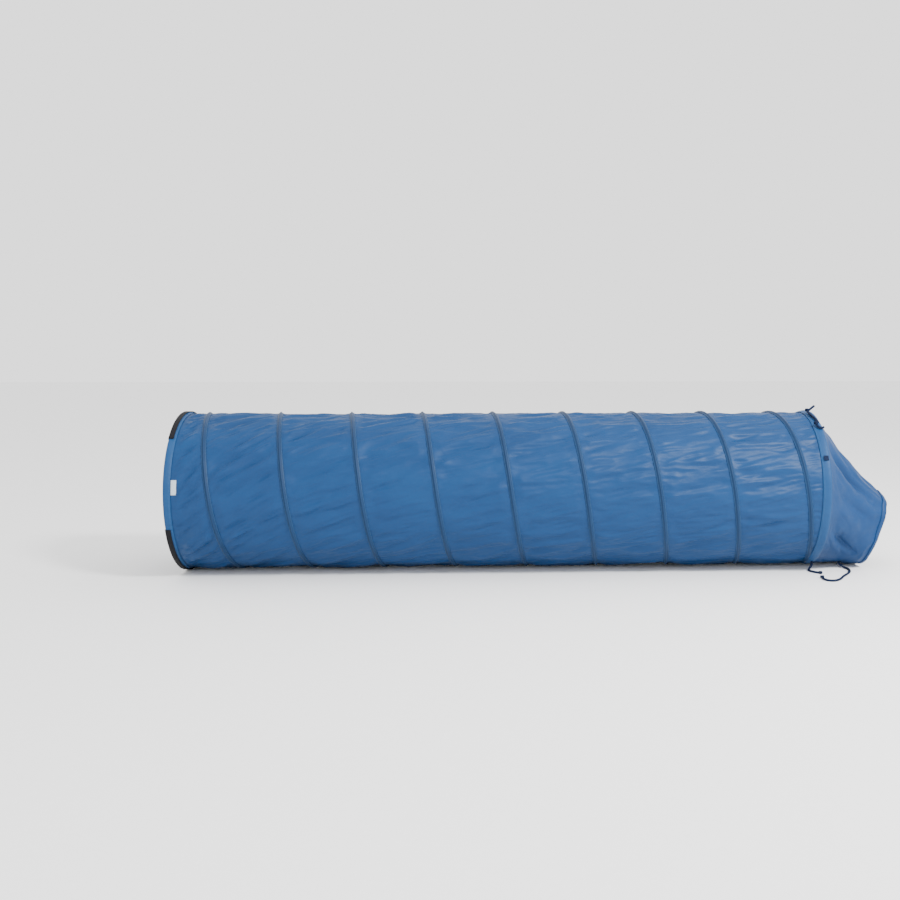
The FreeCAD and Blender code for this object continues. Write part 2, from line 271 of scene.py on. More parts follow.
class Finish:
    """A material with a Principled shader; its slot_name is stored but not used."""

    def __init__(self, name, slot_name, **constants):
        self.material = bpy.data.materials.new(name)
        self.material.use_nodes = True
        self.slot_name = slot_name
        self.shader = self.material.node_tree.nodes["Principled BSDF"]
        for socket, value in constants.items():
            self.shader.inputs[socket.replace("_", " ")].default_value = value

    def node(self, kind, settings=None, inputs=None, out=0):
        """Any node: its settings, then its sockets' values or links. Returns one output."""
        made = self.material.node_tree.nodes.new(kind)
        for key, value in (settings or {}).items():
            setattr(made, key, value)
        for key, value in (inputs or {}).items():
            if isinstance(value, Wire):
                self.material.node_tree.links.new(value.socket, made.inputs[key])
            else:
                made.inputs[key].default_value = value
        return Wire(self, made.outputs[out])

    def shade(self, socket, wire):
        self.material.node_tree.links.new(wire.socket, self.shader.inputs[socket])

    def uv(self):
        return self.node("ShaderNodeUVMap", {"uv_map": "UVMap"})

    def place(self):
        return self.node("ShaderNodeTexCoord", out="Object")

    def split(self, vector):
        parts = self.node("ShaderNodeSeparateXYZ", inputs={0: vector}).socket.node.outputs
        return [Wire(self, part) for part in parts]

    def cloud(self, vector, scale, detail=3.0, rough=0.55):
        """Soft noise from 0 to 1."""
        return self.node("ShaderNodeTexNoise", inputs={
            "Vector": vector, "Scale": scale, "Detail": detail, "Roughness": rough})

    def stretch(self, vector, x, y, z=1.0):
        return self.node("ShaderNodeMapping", inputs={"Vector": vector, "Scale": (x, y, z)})

    def between(self, factor, low, high):
        """A colour from low to high as the factor goes from 0 to 1."""
        return self.node("ShaderNodeMix", {"data_type": "RGBA"},
                         {"Factor": factor, 6: (*low, 1), 7: (*high, 1)}, out=2) if not isinstance(
            low, Wire) else self.node("ShaderNodeMix", {"data_type": "RGBA"},
                                      {"Factor": factor, 6: low, 7: (*high, 1)}, out=2)

    def bump(self, height, distance, strength=1.0, below=None):
        inputs = {"Height": height, "Distance": distance, "Strength": strength}
        if below is not None:
            inputs["Normal"] = below
        return self.node("ShaderNodeBump", inputs=inputs)

    def put_on(self, *pieces):
        """Give the finish to pieces, made here or carried over, in place of what they wore."""
        for piece in pieces:
            piece.data.materials.clear()
            piece.data.materials.append(self.material)


# %% [markdown]
# ## Finishes of the cloth
# The tube is coated nylon: a smooth, tight weave with a satin gloss, that
# creases finely where it has been folded. The weave is two crossed waves on
# the UV, far finer than the creases, which are stretched noise. The colour
# drifts a little, because coated cloth never takes its dye evenly.

# %% Nylon, casing, hem and tail
BLUE_DEEP, BLUE_PALE = (0.002, 0.028, 0.096), (0.006, 0.048, 0.148)


def nylon(name, slot_name, low, high, roughness, crease=0.35, weave=True):
    """Coated nylon with a fine weave, small creases and an uneven dye."""
    cloth = Finish(name, slot_name, Specular_IOR_Level=0.2)
    uv = cloth.uv()
    drift = cloth.cloud(cloth.stretch(uv, 1.4, 3.0), 2.6, detail=5.0)
    cloth.shade("Base Color", cloth.between(drift, low, high))
    worn = cloth.cloud(uv, 22.0, detail=4.0)
    cloth.shade("Roughness", worn * 0.16 + (roughness - 0.08))
    creases = cloth.cloud(cloth.stretch(uv, 9.0, 34.0), 1.0, detail=4.0, rough=0.6)
    relief = cloth.bump(creases, 0.004 * crease, 0.5)
    if weave:
        along, round_it, _ = cloth.split(uv)
        threads = (along * 7000.0).maths("SINE") * (round_it * 7000.0).maths("SINE")
        relief = cloth.bump(threads, 0.00008, 0.35, below=relief)
    cloth.shade("Normal", relief)
    return cloth


TUNNEL_CLOTH = nylon("tunnel_cloth", "tunnel_cloth", BLUE_DEEP, BLUE_PALE, 0.47)
TAIL_CLOTH = nylon("tail_cloth", "tail_cloth", (0.002, 0.026, 0.092), (0.006, 0.043, 0.140), 0.52)
print("nylon finishes made")


# %% [markdown]
# ### Sewn bands
# The casing and the hems are the same nylon folded over and sewn down, and
# they carry a line of stitches. The casing is coloured darker as painted
# shade, and the hems lighter as a painted highlight. A stitch is a dash: a
# narrow band across, cut by a repeating step along it.

# %% Bands with stitches
def stitched(name, slot_name, low, high, roughness, rows, along_first):
    """Nylon with rows of stitches; rows are distances across the band, in metres."""
    band = nylon(name, slot_name, low, high, roughness, crease=0.5)
    first, second, _ = band.split(band.uv())
    along, across = (first, second) if along_first else (second, first)
    dash = (along * (1 / 0.0042)).maths("FRACT") < 0.72
    thread = None
    for row in rows:
        line = (across - row).maths("ABSOLUTE") < 0.00055
        thread = line if thread is None else thread.maths("MAXIMUM", line)
    thread = thread * dash
    shader_in = band.shader.inputs
    ground = Wire(band, shader_in["Base Color"].links[0].from_socket)
    band.shade("Base Color", band.between(thread, ground, (0.020, 0.080, 0.200)))
    below = Wire(band, shader_in["Normal"].links[0].from_socket)
    band.shade("Normal", band.bump(thread, 0.0005, 0.8, below=below))
    return band


STITCH_INSET = 0.0016
half_casing = CASING_WIDTH / 2
# The casing tape's darker blue is painted shade on the tube's own nylon.
CASING_TAPE = stitched("casing_tape", "casing_tape", (0.003, 0.020, 0.062), (0.006, 0.034, 0.095), 0.5,
                       [STITCH_INSET - half_casing, half_casing - STITCH_INSET], True)
# The hem's lighter blue is a painted highlight on the tube's own nylon.
HEM_CLOTH = stitched("hem_cloth", "hem_cloth", (0.005, 0.038, 0.118), (0.010, 0.062, 0.175), 0.5,
                     [ENTRY_EDGE - 0.003, ENTRY_EDGE - 0.0055, EXIT_EDGE + 0.003, EXIT_EDGE + 0.0055],
                     False)

# %% [markdown]
# ### Webbing, label, wire and cord
# Webbing is a coarse ribbed weave, so its ribs are a wave across its width.
# The label is woven satin, left blank. Spring wire has drawing marks along
# it, and a tie is a soft braid of navy yarn, darkened near black by
# painted shade.

# %% The small finishes
WEBBING = Finish("webbing", "webbing", Specular_IOR_Level=0.15)
ribs = WEBBING.node("ShaderNodeTexWave", {"bands_direction": "DIAGONAL"}, {
    "Vector": WEBBING.uv(), "Scale": 160.0, "Distortion": 0.6, "Detail": 2.0}, out="Fac")
WEBBING.shade("Base Color", WEBBING.between(ribs, (0.002, 0.002, 0.003), (0.010, 0.010, 0.013)))
WEBBING.shade("Roughness", ribs * 0.2 + 0.6)
WEBBING.shade("Normal", WEBBING.bump(ribs, 0.0006, 0.7))

LABEL = Finish("label", "label", Sheen_Weight=0.3)
label_weave = LABEL.cloud(LABEL.stretch(LABEL.uv(), 900.0, 250.0), 1.0, detail=2.0)
LABEL.shade("Base Color", LABEL.between(label_weave, (0.34, 0.40, 0.46), (0.50, 0.56, 0.62)))
LABEL.shade("Roughness", label_weave * 0.2 + 0.45)
LABEL.shade("Normal", LABEL.bump(label_weave, 0.0003, 0.5))

STEEL = Finish("spring_wire", "spring_wire", Metallic=1.0)
drawn = STEEL.cloud(STEEL.stretch(STEEL.place(), 20.0, 400.0, 400.0), 1.0, detail=2.0)
STEEL.shade("Base Color", STEEL.between(drawn, (0.22, 0.23, 0.25), (0.42, 0.43, 0.45)))
STEEL.shade("Roughness", drawn * 0.2 + 0.25)

FERRULE = Finish("ferrule", "ferrule", Metallic=1.0)
rolled = FERRULE.cloud(FERRULE.place(), 300.0)
FERRULE.shade("Base Color", FERRULE.between(rolled, (0.50, 0.51, 0.52), (0.68, 0.69, 0.70)))
FERRULE.shade("Roughness", rolled * 0.2 + 0.3)

CORD = Finish("tie_cord", "tie_cord", Specular_IOR_Level=0.15)
braid = CORD.node("ShaderNodeTexWave", {"bands_direction": "DIAGONAL"}, {
    "Vector": CORD.place(), "Scale": 190.0, "Distortion": 3.0, "Detail": 2.0, "Detail Scale": 2.0},
    out="Fac")
# Navy yarn darkened near black: painted shade on the ties.
CORD.shade("Base Color", CORD.between(braid, (0.002, 0.006, 0.024), (0.006, 0.016, 0.052)))
CORD.shade("Roughness", braid * 0.2 + 0.6)
CORD.shade("Normal", CORD.bump(braid, 0.0008, 0.8))
print("finishes:", [m.name for m in bpy.data.materials])

# %% [markdown]
# ## Tie cords
# Five short cords hang at the exit hem: two stubs and a side tie at the top,
# and two that lie on the floor in front. A cord is a fixed length on a smooth
# line, so each is a NURBS curve through the same listed points as its
# core in the design. The points are offsets from the exit hem's outer face.

# %% Cords and their knots
TIE_RADIUS = 0.004


def at_exit(dx, y, z):
    return Vector((EXIT_X + dx * MM, y * MM, z * MM))


def on_hem(dx, degrees, lift):
    return on_ring(EXIT_X + dx * MM, HEM_RADIUS + lift * MM, degrees)


ties = {
    "lower_tie_short": [on_hem(-12, 333.4, 0), on_hem(-14, 333.0, 14), at_exit(-27, -140, 4),
                        at_exit(-33, -161, 4), at_exit(-25, -183, 4), at_exit(-10, -196, 4)],
    "lower_tie_long": [at_exit(92, -98, 17.5), at_exit(105, -113, 4), at_exit(116, -139, 4),
                       at_exit(108, -178, 4), at_exit(85, -215, 4), at_exit(57, -250, 4),
                       at_exit(34, -290, 4), at_exit(6, -316, 4), at_exit(-16, -312, 4),
                       at_exit(-26, -292, 4), at_exit(-22, -270, 4)],
    "upper_tie_back": [on_hem(-14, 190.0, 6.7), on_hem(-5, 189.0, 13), on_hem(9, 187.5, 20)],
    "upper_tie_front": [on_hem(-21, 192.0, 4.7), on_hem(-19, 200.0, 4.7),
                        on_hem(-12, 205.5, 4.7), on_hem(-11, 210.0, 4.7)],
    "side_tie": [on_hem(-19, 213.0, 4.7), on_hem(-12, 218.0, 4.7), on_hem(2, 215.5, 4.7)],
}
knots = {"lower_tie_short": "lower_tie_short_knot", "lower_tie_long": "lower_tie_long_knot",
         "upper_tie_back": "upper_tie_knot", "side_tie": "side_tie_knot"}


def make_cord(name, route):
    """A round cord on a smooth line; its order is set after its points."""
    curve = bpy.data.curves.new(name, "CURVE")
    curve.dimensions = "3D"
    spline = curve.splines.new("NURBS")
    spline.points.add(len(route) - 1)
    for point, place in zip(spline.points, route):
        point.co = (*place, 1)
        point.radius = TIE_RADIUS
    spline.order_u = 3
    spline.use_endpoint_u = True
    spline.resolution_u = 10
    curve.bevel_depth = 1.0            # times each point's own radius
    curve.bevel_resolution = 4
    curve.use_fill_caps = True
    cord = bpy.data.objects.new(name + "_cord", curve)
    bpy.context.scene.collection.objects.link(cord)
    return cord


def make_knot(name):
    """An overhand knot drawn tight: a trefoil of cord, turned into a mesh where the core lies."""
    low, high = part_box(name)
    centre, size = (low + high) / 2, min(high - low) / 2
    curve = bpy.data.curves.new(name, "CURVE")
    curve.dimensions = "3D"
    spline = curve.splines.new("NURBS")
    steps = 24
    spline.points.add(steps - 1)
    for step, point in enumerate(spline.points):
        t = 2 * math.pi * step / steps
        reach = size * 0.30
        point.co = (reach * (math.sin(t) + 1.1 * math.sin(2 * t)),
                    reach * (math.cos(t) - 1.1 * math.cos(2 * t)), -reach * math.sin(3 * t), 1)
    spline.use_cyclic_u = True
    spline.order_u = 4
    curve.bevel_depth = TIE_RADIUS * 0.8
    curve.bevel_resolution = 3
    made = bpy.data.objects.new(name + "_tied", curve)
    bpy.context.scene.collection.objects.link(made)
    mesh = bpy.data.meshes.new_from_object(made)
    bpy.data.objects.remove(made)
    mesh.transform(Matrix.Translation(centre))
    lowest = min(vert.co.z for vert in mesh.vertices)
    on_floor = low.z < TIE_RADIUS
    mesh.transform(Matrix.Translation((0, 0, -lowest if on_floor else 0)))
    mesh.shade_smooth()
    knot = bpy.data.objects.new(name + "_tied", mesh)
    bpy.context.scene.collection.objects.link(knot)
    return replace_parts(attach(knot, f"bay_{TURNS}"), name)


def line_length(cord):
    """The length of the cord's own smooth line."""
    depth, cord.data.bevel_depth = cord.data.bevel_depth, 0
    line = bpy.data.meshes.new_from_object(cord)
    cord.data.bevel_depth = depth
    places = [v.co for v in line.vertices]
    return sum((b - a).length for a, b in zip(places, places[1:]))


for tie, route in ties.items():
    cord = make_cord(tie, route)
    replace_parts(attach(cord, f"bay_{TURNS}"), tie)
    CORD.put_on(cord)
    tied = [make_knot(knots[tie])] if tie in knots else []
    CORD.put_on(*tied)
    length = line_length(cord)
    print(f"{tie}: {length:.3f} m")

# %% [markdown]
# ## The tube of cloth
# The tube is one length of nylon sewn to the casing of the spiral and into
# both hems, and it is cut a little large, so it wrinkles lengthwise between
# them. Wrinkles drawn by hand look like corrugated iron, so the Cloth solver
# makes them. The seams are pinned, and the rest shape is wider than the
# place it has, slightly short, and twisted, as the coil twists it.

# %% A plain tube on the skin's radius, with a row of faces' edges at each turn
SKIN = SKIN_RADIUS - 0.0005
TUBE_COLUMNS = 216
ROW_PITCH = 0.0114


def tube_rows():
    """Places along the tube, and the bay that each row of faces belongs to."""
    rows, bays = [STATIONS[0] + 0.004], []
    for bay, (start, end) in enumerate(zip(STATIONS, STATIONS[1:]), start=1):
        start, end = max(start, rows[0]), end - (0.004 if bay == TURNS else 0)
        count = round((end - start) / ROW_PITCH)
        rows += [start + (end - start) * (step + 1) / count for step in range(count)]
        bays += [bay] * count
    return rows, bays


def plain_tube():
    rows, bays = tube_rows()
    bm = bmesh.new()
    bay_layer = bm.faces.layers.int.new("bay")
    line = [bm.verts.new(on_ring(x, SKIN, 0)) for x in rows]
    edges = [bm.edges.new(pair) for pair in zip(line, line[1:])]
    bmesh.ops.spin(bm, geom=line + edges, cent=(0, 0, AXIS_HEIGHT), axis=(-1, 0, 0),
                   angle=-2 * math.pi, steps=TUBE_COLUMNS, use_merge=True)
    bmesh.ops.recalc_face_normals(bm, faces=bm.faces)
    ends = np.array(rows)
    for face in bm.faces:
        row = int(np.searchsorted(ends, face.calc_center_median().x)) - 1
        face[bay_layer] = bays[row]
    return bm


tube = keep_mesh("tube_before", plain_tube())
print("tube:", len(tube.data.vertices), "points")

# %% [markdown]
# ### Where the cloth is sewn
# A point's distance from the spiral, along the tunnel, says how far it is
# from a seam. Points under the casing and inside the hems are pinned. All
# others may move, but only as far as loose cloth would.

# %% Distance from the seams
PINNED = 0.008
LOOSE_MOVE = 0.0075


def cloud_field(points, size, seed):
    return np.array([noise.noise(Vector(p) / size + Vector((seed, 0, 0))) for p in points])


def from_seam(points):
    """Distance along the tunnel from the nearest seam: a turn of the spiral, or a hem."""
    turn = polar(points)[1] / (2 * math.pi)
    phase = (points[:, 0] - SPIRAL_X) / PITCH - turn
    spiral = np.abs(phase - np.round(phase)) * PITCH
    hems = np.minimum(points[:, 0] - ENTRY_EDGE, EXIT_EDGE - points[:, 0])
    return np.minimum(spiral, np.maximum(hems, 0))


def read_points(mesh):
    flat = np.empty(len(mesh.vertices) * 3)
    mesh.vertices.foreach_get("co", flat)
    return flat.reshape(-1, 3)


def write_points(mesh, points):
    mesh.vertices.foreach_set("co", points.ravel())
    mesh.update()


rest_points = read_points(tube.data)
distance = from_seam(rest_points)
radius, angle = polar(rest_points)
print(f"pinned: {int((distance < PINNED).sum())} of {len(distance)} points")

# %% [markdown]
# ### Cut large and let it settle
# The mesh starts with faint noise drawn out along the wrinkles, to tell the
# solver which way to fold. Its rest shape is the cloth as it was cut. After a
# few frames the result is read back, and no point is kept further from the
# plain tube than loose cloth could go.

# %% Drape the tube
EXTRA_ROUND = 1.030
EXTRA_LONG = 0.990
TWIST = 0.055                  # sideways lean of the wrinkles, in metres a metre
SETTLE_FRAMES = 22


def around(points, new_radius, new_angle, new_x=None):
    """The points moved to another radius and angle."""
    moved = np.empty_like(points)
    moved[:, 0] = points[:, 0] if new_x is None else new_x
    moved[:, 1] = new_radius * np.sin(new_angle)
    moved[:, 2] = AXIS_HEIGHT - new_radius * np.cos(new_angle)
    return moved


def settle(piece, pinned, cut, frames, gravity=0.4):
    """Run the Cloth solver on a piece whose rest shape is cut; returns its new points."""
    group = piece.vertex_groups.new(name="sewn")
    group.add(np.flatnonzero(pinned).tolist(), 1.0, "REPLACE")
    piece.shape_key_add(name="Basis")
    key = piece.shape_key_add(name="Cut")
    key.data.foreach_set("co", cut.ravel())
    cloth = piece.modifiers.new("settle", "CLOTH")
    cloth.settings.rest_shape_key = key
    cloth.settings.vertex_group_mass = "sewn"
    cloth.settings.quality = 5
    cloth.settings.mass = 0.05
    cloth.settings.tension_stiffness = 30
    cloth.settings.compression_stiffness = 30
    cloth.settings.shear_stiffness = 8
    cloth.settings.bending_stiffness = 0.02
    cloth.settings.air_damping = 3
    cloth.settings.effector_weights.gravity = gravity
    cloth.collision_settings.use_collision = False
    cloth.point_cache.frame_start, cloth.point_cache.frame_end = 1, frames
    for frame_number in range(1, frames + 1):
        bpy.context.scene.frame_set(frame_number)
    settled = bpy.data.meshes.new_from_object(
        piece.evaluated_get(bpy.context.evaluated_depsgraph_get()))
    points = read_points(settled)
    bpy.data.meshes.remove(settled)
    piece.modifiers.clear()
    piece.shape_key_clear()
    piece.vertex_groups.clear()
    bpy.context.scene.frame_set(1)
    return points


def leaning(points, along, round_it, seed):
    """Noise on the tube, drawn out along it and leaning as the wrinkles lean there."""
    past_entry = points[:, 0] - ENTRY_X
    lean = LEAN_AT_ENTRY * LEAN_FADES * (1 - np.exp(-past_entry / LEAN_FADES)) + LEAN_BEYOND * past_entry
    turned = polar(points)[1] + lean / SKIN
    spots = np.stack([points[:, 0] / along, SKIN * np.cos(turned) / round_it,
                      SKIN * np.sin(turned) / round_it], axis=1)
    return np.array([noise.noise(Vector(spot) + Vector((seed, 0, 0))) for spot in spots])


LEAN_AT_ENTRY, LEAN_BEYOND, LEAN_FADES = 0.75, 0.14, 0.55
loose = np.clip((distance - PINNED) / 0.04, 0, 1)
faint = leaning(rest_points, 0.16, 0.030, 3.0) * loose
write_points(tube.data, around(rest_points, radius + faint * 0.008, angle))
cut_shape = around(rest_points, radius * EXTRA_ROUND, angle + TWIST * rest_points[:, 0] / SKIN,
                   rest_points[:, 0] * EXTRA_LONG)
settled_points = settle(tube, distance < PINNED, cut_shape, SETTLE_FRAMES)
settled_radius, settled_angle = polar(settled_points)
reach = LOOSE_MOVE * np.clip((distance - PINNED) / 0.03, 0, 1)
change = settled_radius - SKIN
print(f"loose cloth moved {change.min() * 1000:.1f} to {change.max() * 1000:.1f} mm")
held = reach * np.tanh(change / np.maximum(reach, 1e-6))
settled_points = around(settled_points, SKIN + held, settled_angle)
settled_points[:, 2] = np.maximum(settled_points[:, 2], 0.0008)
write_points(tube.data, settled_points)

# %% [markdown]
# ### Creases finer than the solver's mesh
# Coated nylon keeps sharp creases from being packed flat. A crease is a ridge
# of noise, its absolute value turned over, which has a sharp crest. Small
# ones gather beside each seam, and the first bay and the strip before the
# exit hem are creased the most.

# %% Creases
def creases(points, seam_distance):
    """How far each point stands out or in, in metres."""
    past_entry, before_exit = points[:, 0] - ENTRY_X, EXIT_X - points[:, 0]
    strength = 1.25 + 1.3 * np.exp(-past_entry / 0.28)
    free = np.clip((seam_distance - 0.009) / 0.030, 0, 1)
    beside_seam = np.clip((seam_distance - 0.006) / 0.006, 0, 1) * np.exp(-seam_distance / 0.025)
    broad = leaning(points, 0.17, 0.034, 21.0)
    ridge = 0.30 - np.abs(leaning(points, 0.11, 0.020, 33.0))
    small = 0.25 - np.abs(leaning(points, 0.045, 0.011, 45.0))
    gathers = 0.25 - np.abs(leaning(points, 0.05, 0.0075, 57.0))
    height = free * (0.0060 * broad + 0.0056 * ridge + 0.0016 * small) + 0.0050 * beside_seam * gathers
    at_exit_hem = np.exp(-(before_exit / 0.085) ** 4) * np.clip(seam_distance / 0.008, 0, 1)
    drawn_up = 0.2 - np.abs(leaning(points, 0.25, 0.016, 71.0))
    return height * strength + 0.0080 * at_exit_hem * drawn_up


# %% [markdown]
# ### One piece of cloth for each bay
# The tunnel folds like a bellows, and each bay's cloth flattens towards the
# bay before it. So the settled tube is divided at each turn of the wire. The
# pieces share their edges and the whole tube's normals, so no line shows.

# %% Divide the tube, and attach each bay's cloth to the body before it
def whole_normals(mesh):
    flat = np.empty(len(mesh.vertices) * 3)
    mesh.vertex_normals.foreach_get("vector", flat)
    return flat.reshape(-1, 3)


def fold_with(piece, turn):
    """The piece rides on the body before its bay's joint, with a mesh of its own."""
    body = "entry" if turn == 1 else f"bay_{turn - 1}"
    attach(piece, body)
    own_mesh(piece)
    return piece


smoother = tube.modifiers.new("finer", "SUBSURF")
smoother.levels = smoother.render_levels = 1
fine = bpy.data.meshes.new_from_object(tube.evaluated_get(bpy.context.evaluated_depsgraph_get()))
fine_points = read_points(fine)
fine_distance = from_seam(fine_points)
crinkle = creases(fine_points, fine_distance)
fine_radius, fine_angle = polar(fine_points)
fine_points = around(fine_points, fine_radius + crinkle, fine_angle)
fine_points[:, 2] = np.maximum(fine_points[:, 2], 0.0008)
write_points(fine, fine_points)
print(f"creases from {crinkle.min() * 1000:.1f} to {crinkle.max() * 1000:.1f} mm")
normals = whole_normals(fine)
source = bmesh.new()
source.from_mesh(fine)
number = source.verts.layers.int.new("number")
for vert in source.verts:
    vert[number] = vert.index
bpy.data.objects.remove(tube)

for turn in range(1, TURNS + 1):
    bay = source.copy()
    bay_layer = bay.faces.layers.int["bay"]
    others = [face for face in bay.faces if face[bay_layer] != turn]
    bmesh.ops.delete(bay, geom=others, context="FACES")
    numbers = [vert[bay.verts.layers.int["number"]] for vert in bay.verts]
    cloth = keep_mesh(f"bay_cloth_{turn}", bay)
    lay_uv(cloth)
    cloth.data.normals_split_custom_set_from_vertices(normals[numbers])
    TUNNEL_CLOTH.put_on(cloth)
    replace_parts(fold_with(cloth, turn), f"panel_{turn}")
source.free()
bpy.data.meshes.remove(fine)
print("cloth divided into", TURNS, "bays")

# %% [markdown]
# ## The casing and its wire
# The spring wire runs in a sleeve of the same nylon, sewn flat to the tube
# with the wire's ridge in its middle. It is one outline swept along the
# spiral, one turn at a time. Small puckers come from the sewing.

# %% Casing and wire, one turn at a time
SKIN_TOP = SKIN_RADIUS + 0.0002
casing_outline = [(-9.0, 0.0), (-8.6, 1.0), (-6.4, 1.7), (-4.0, 2.9), (-2.4, 5.2), (-1.1, 6.2), (0.0, 6.45),
                  (1.1, 6.2), (2.4, 5.2), (4.0, 2.9), (6.4, 1.7), (8.6, 1.0), (9.0, 0.0)]
casing_outline = [(x * MM, SKIN_TOP + rise * MM) for x, rise in casing_outline]
WIRE_CENTRE = (SKIN_TOP + 0.0036)
wire_outline = [(WIRE_RADIUS * math.cos(t), WIRE_CENTRE + WIRE_RADIUS * math.sin(t))
                for t in [2 * math.pi * step / 8 for step in range(8)]]


def pucker(bm, depth, wave):
    """Sewn tape gathers in small waves along its length."""
    for vert in bm.verts:
        down = AXIS_HEIGHT - vert.co.z
        lift = math.hypot(vert.co.y, down) - SKIN_TOP
        along = math.atan2(vert.co.y, down) * CASING_RADIUS
        drift = noise.noise(vert.co * 12) * 3
        ripple = noise.noise(Vector((along / wave + drift, vert.co.x * 40, 0)))
        share = min(lift / 0.001, 1) * (1 if lift < 0.004 else 0.4)
        out = Vector((0, vert.co.y, -down)).normalized()
        vert.co += out * ripple * depth * share
        vert.co.z = max(vert.co.z, 0.0003)


def clip_at_hems(bm):
    for place, side in ((ENTRY_EDGE, -1), (EXIT_EDGE, 1)):
        bmesh.ops.bisect_plane(bm, geom=bm.verts[:] + bm.edges[:] + bm.faces[:],
                               plane_co=(place, 0, 0), plane_no=(side, 0, 0), clear_outer=True)


def spiral_angle(x):
    return 360 * (x - SPIRAL_X) / PITCH


HIDDEN_END = 0.012
for turn in range(1, TURNS + 1):
    first = max(360 * (turn - 1), spiral_angle(ENTRY_X + HIDDEN_END))
    last = min(360 * turn, spiral_angle(EXIT_X - HIDDEN_END))
    steps = round((last - first) / 2)
    tape = spin_profile(casing_outline, first, last, steps, climb=True)
    if turn in (1, TURNS):
        clip_at_hems(tape)
    pucker(tape, 0.0011, 0.009)
    casing = keep_mesh(f"casing_tape_{turn}", tape)
    lay_spiral_uv(casing)
    CASING_TAPE.put_on(casing)
    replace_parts(fold_with(casing, turn), f"casing_{turn}")
    wire = keep_mesh(f"spring_wire_{turn}", spin_profile(wire_outline, first, last, steps, climb=True))
    STEEL.put_on(wire)
    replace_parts(fold_with(wire, turn), f"coil_turn_{turn}")
print("casing and wire:", TURNS, "turns")

# %% [markdown]
# ## Hems and guards
# At each end the cloth folds back over a hoop of wire and is sewn down. The
# hem is fuller than the hoop, so it gathers. Black webbing is folded over the
# entry's rim where it is dragged along the ground and handled.

# %% Hems
HEM_INNER = HEM_RADIUS - HEM_DEPTH


def hem_outline(outer_x, inner_x):
    """The hem's round edge is over the hoop; its other edge thins to a flat seam."""
    width = inner_x - outer_x
    share = [(0.10, 0.02), (0.02, 0.20), (0.0, 0.5), (0.03, 0.78), (0.12, 0.96), (0.30, 1.0), (0.45, 0.92),
             (0.62, 0.76), (0.78, 0.60), (0.90, 0.40), (0.98, 0.24), (1.0, 0.12), (0.94, 0.02), (0.5, 0.0)]
    return [(outer_x + along * width, HEM_INNER + up * HEM_DEPTH) for along, up in share]


def gather(bm, fullness, wave, seed, edge):
    """Fullness drawn up round the hoop: ridges that run across the hem."""
    for vert in bm.verts:
        down = AXIS_HEIGHT - vert.co.z
        out = Vector((0, vert.co.y, -down)).normalized()
        along = math.atan2(vert.co.y, down) % (2 * math.pi) * HEM_RADIUS
        phase = Vector((math.cos(along / HEM_RADIUS), math.sin(along / HEM_RADIUS), 0)) * HEM_RADIUS / wave
        ridge = noise.noise(phase + Vector((seed, seed, vert.co.x * 25)))
        lift = (math.hypot(vert.co.y, down) - HEM_INNER) / HEM_DEPTH
        away = min(abs(vert.co.x - edge) / 0.02, 1)
        vert.co -= out * abs(ridge) * fullness * lift * (1.2 - away)
        vert.co.z = max(vert.co.z, 0.0003)


for end, outer_x, inner_x, body in (("entry", ENTRY_X, ENTRY_EDGE, "entry"),
                                    ("exit", EXIT_X, EXIT_EDGE, f"bay_{TURNS}")):
    ring = spin_profile(hem_outline(outer_x, inner_x), 0, 360, 432)
    gather(ring, 0.004, 0.012, 7.0, inner_x)
    hem = keep_mesh(f"{end}_hem_cloth", ring)
    lay_uv(hem)
    HEM_CLOTH.put_on(hem)
    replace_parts(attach(hem, body), f"{end}_hem")
print("hems: two rings,", len(hem.data.polygons), "faces each")

# %% Guards of webbing, folded over the entry's rim
WEB = 0.0010
guard_outline = [(-0.95, 271.8), (-1.0, 275.0), (-0.95, 279.2), (-0.6, 280.2), (0.2, 280.65), (9.0, 280.6),
                 (17.8, 280.5), (17.9, 279.9), (9.0, 279.75), (0.5, 279.7), (-0.05, 279.4), (-0.05, 271.8)]
guard_outline = [(ENTRY_X + x * MM, r * MM) for x, r in guard_outline]
GUARD_ARCS = {"upper": (136, 224), "lower": (290, 430)}
for name, (first, last) in GUARD_ARCS.items():
    strip = spin_profile(guard_outline, first, last, (last - first) // 2)
    rough_up(strip, 0.0004, 0.02)
    guard = keep_mesh(f"rim_guard_{name}", strip)
    lay_uv(guard)
    WEBBING.put_on(guard)
    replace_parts(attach(guard, "entry"), f"entry_guard_{name}")
print("guards made")

# %% [markdown]
# ## The label
# A small woven label is sewn to the cloth just behind the entry hem. It's a
# thin strip bent round the tube, a little fuller in the middle than at its
# sewn edges, and it is attached to the same body as the cloth that it's sewn to.

# %% Label
label_low, label_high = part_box("care_label")
LABEL_THICKNESS = 0.0005
LABEL_ARC = (255.0, 265.5)
LABEL_STEPS = 28
label_width = label_high.x - label_low.x
across = [step / 10 for step in range(11)]
upper = [(label_low.x + share * label_width, SKIN_RADIUS + LABEL_THICKNESS * (1 + math.sin(share * math.pi)))
         for share in across]
lower = [(x, radius - LABEL_THICKNESS) for x, radius in reversed(upper)]
label_strip = spin_profile(upper + lower, *LABEL_ARC, LABEL_STEPS)
rough_up(label_strip, 0.0003, 0.006)
label = keep_mesh("sewn_label", label_strip)
lay_uv(label)
LABEL.put_on(label)
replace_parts(fold_with(label, 1), "care_label")
print(f"label: {label_width * 1000:.0f} mm wide")

# %% [markdown]
# ## The tail
# Past the exit hoop hangs a short sleeve of the same nylon with nothing to
# hold it open, so the dog pushes through it. It starts round at the hoop and
# drops to a low, wide mouth with slack folds. The shape is a tube whose rings
# are moved from the round root to the mouth, then settled like the tunnel.

# %% The tail's plain shape
root_low, root_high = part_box("tail_sleeve")
mouth_low, mouth_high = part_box("tail_hem")
ROOT_RADIUS = root_high.z - AXIS_HEIGHT
MOUTH_HEIGHT = 0.258
MOUTH_HALF_WIDTH = 0.150
REACH_TOP, REACH_BOTTOM = 0.258, 0.176
SQUARENESS = 0.7
FLOOR_GAP = 0.002
TAIL_COLUMNS, TAIL_ROWS = 168, 36


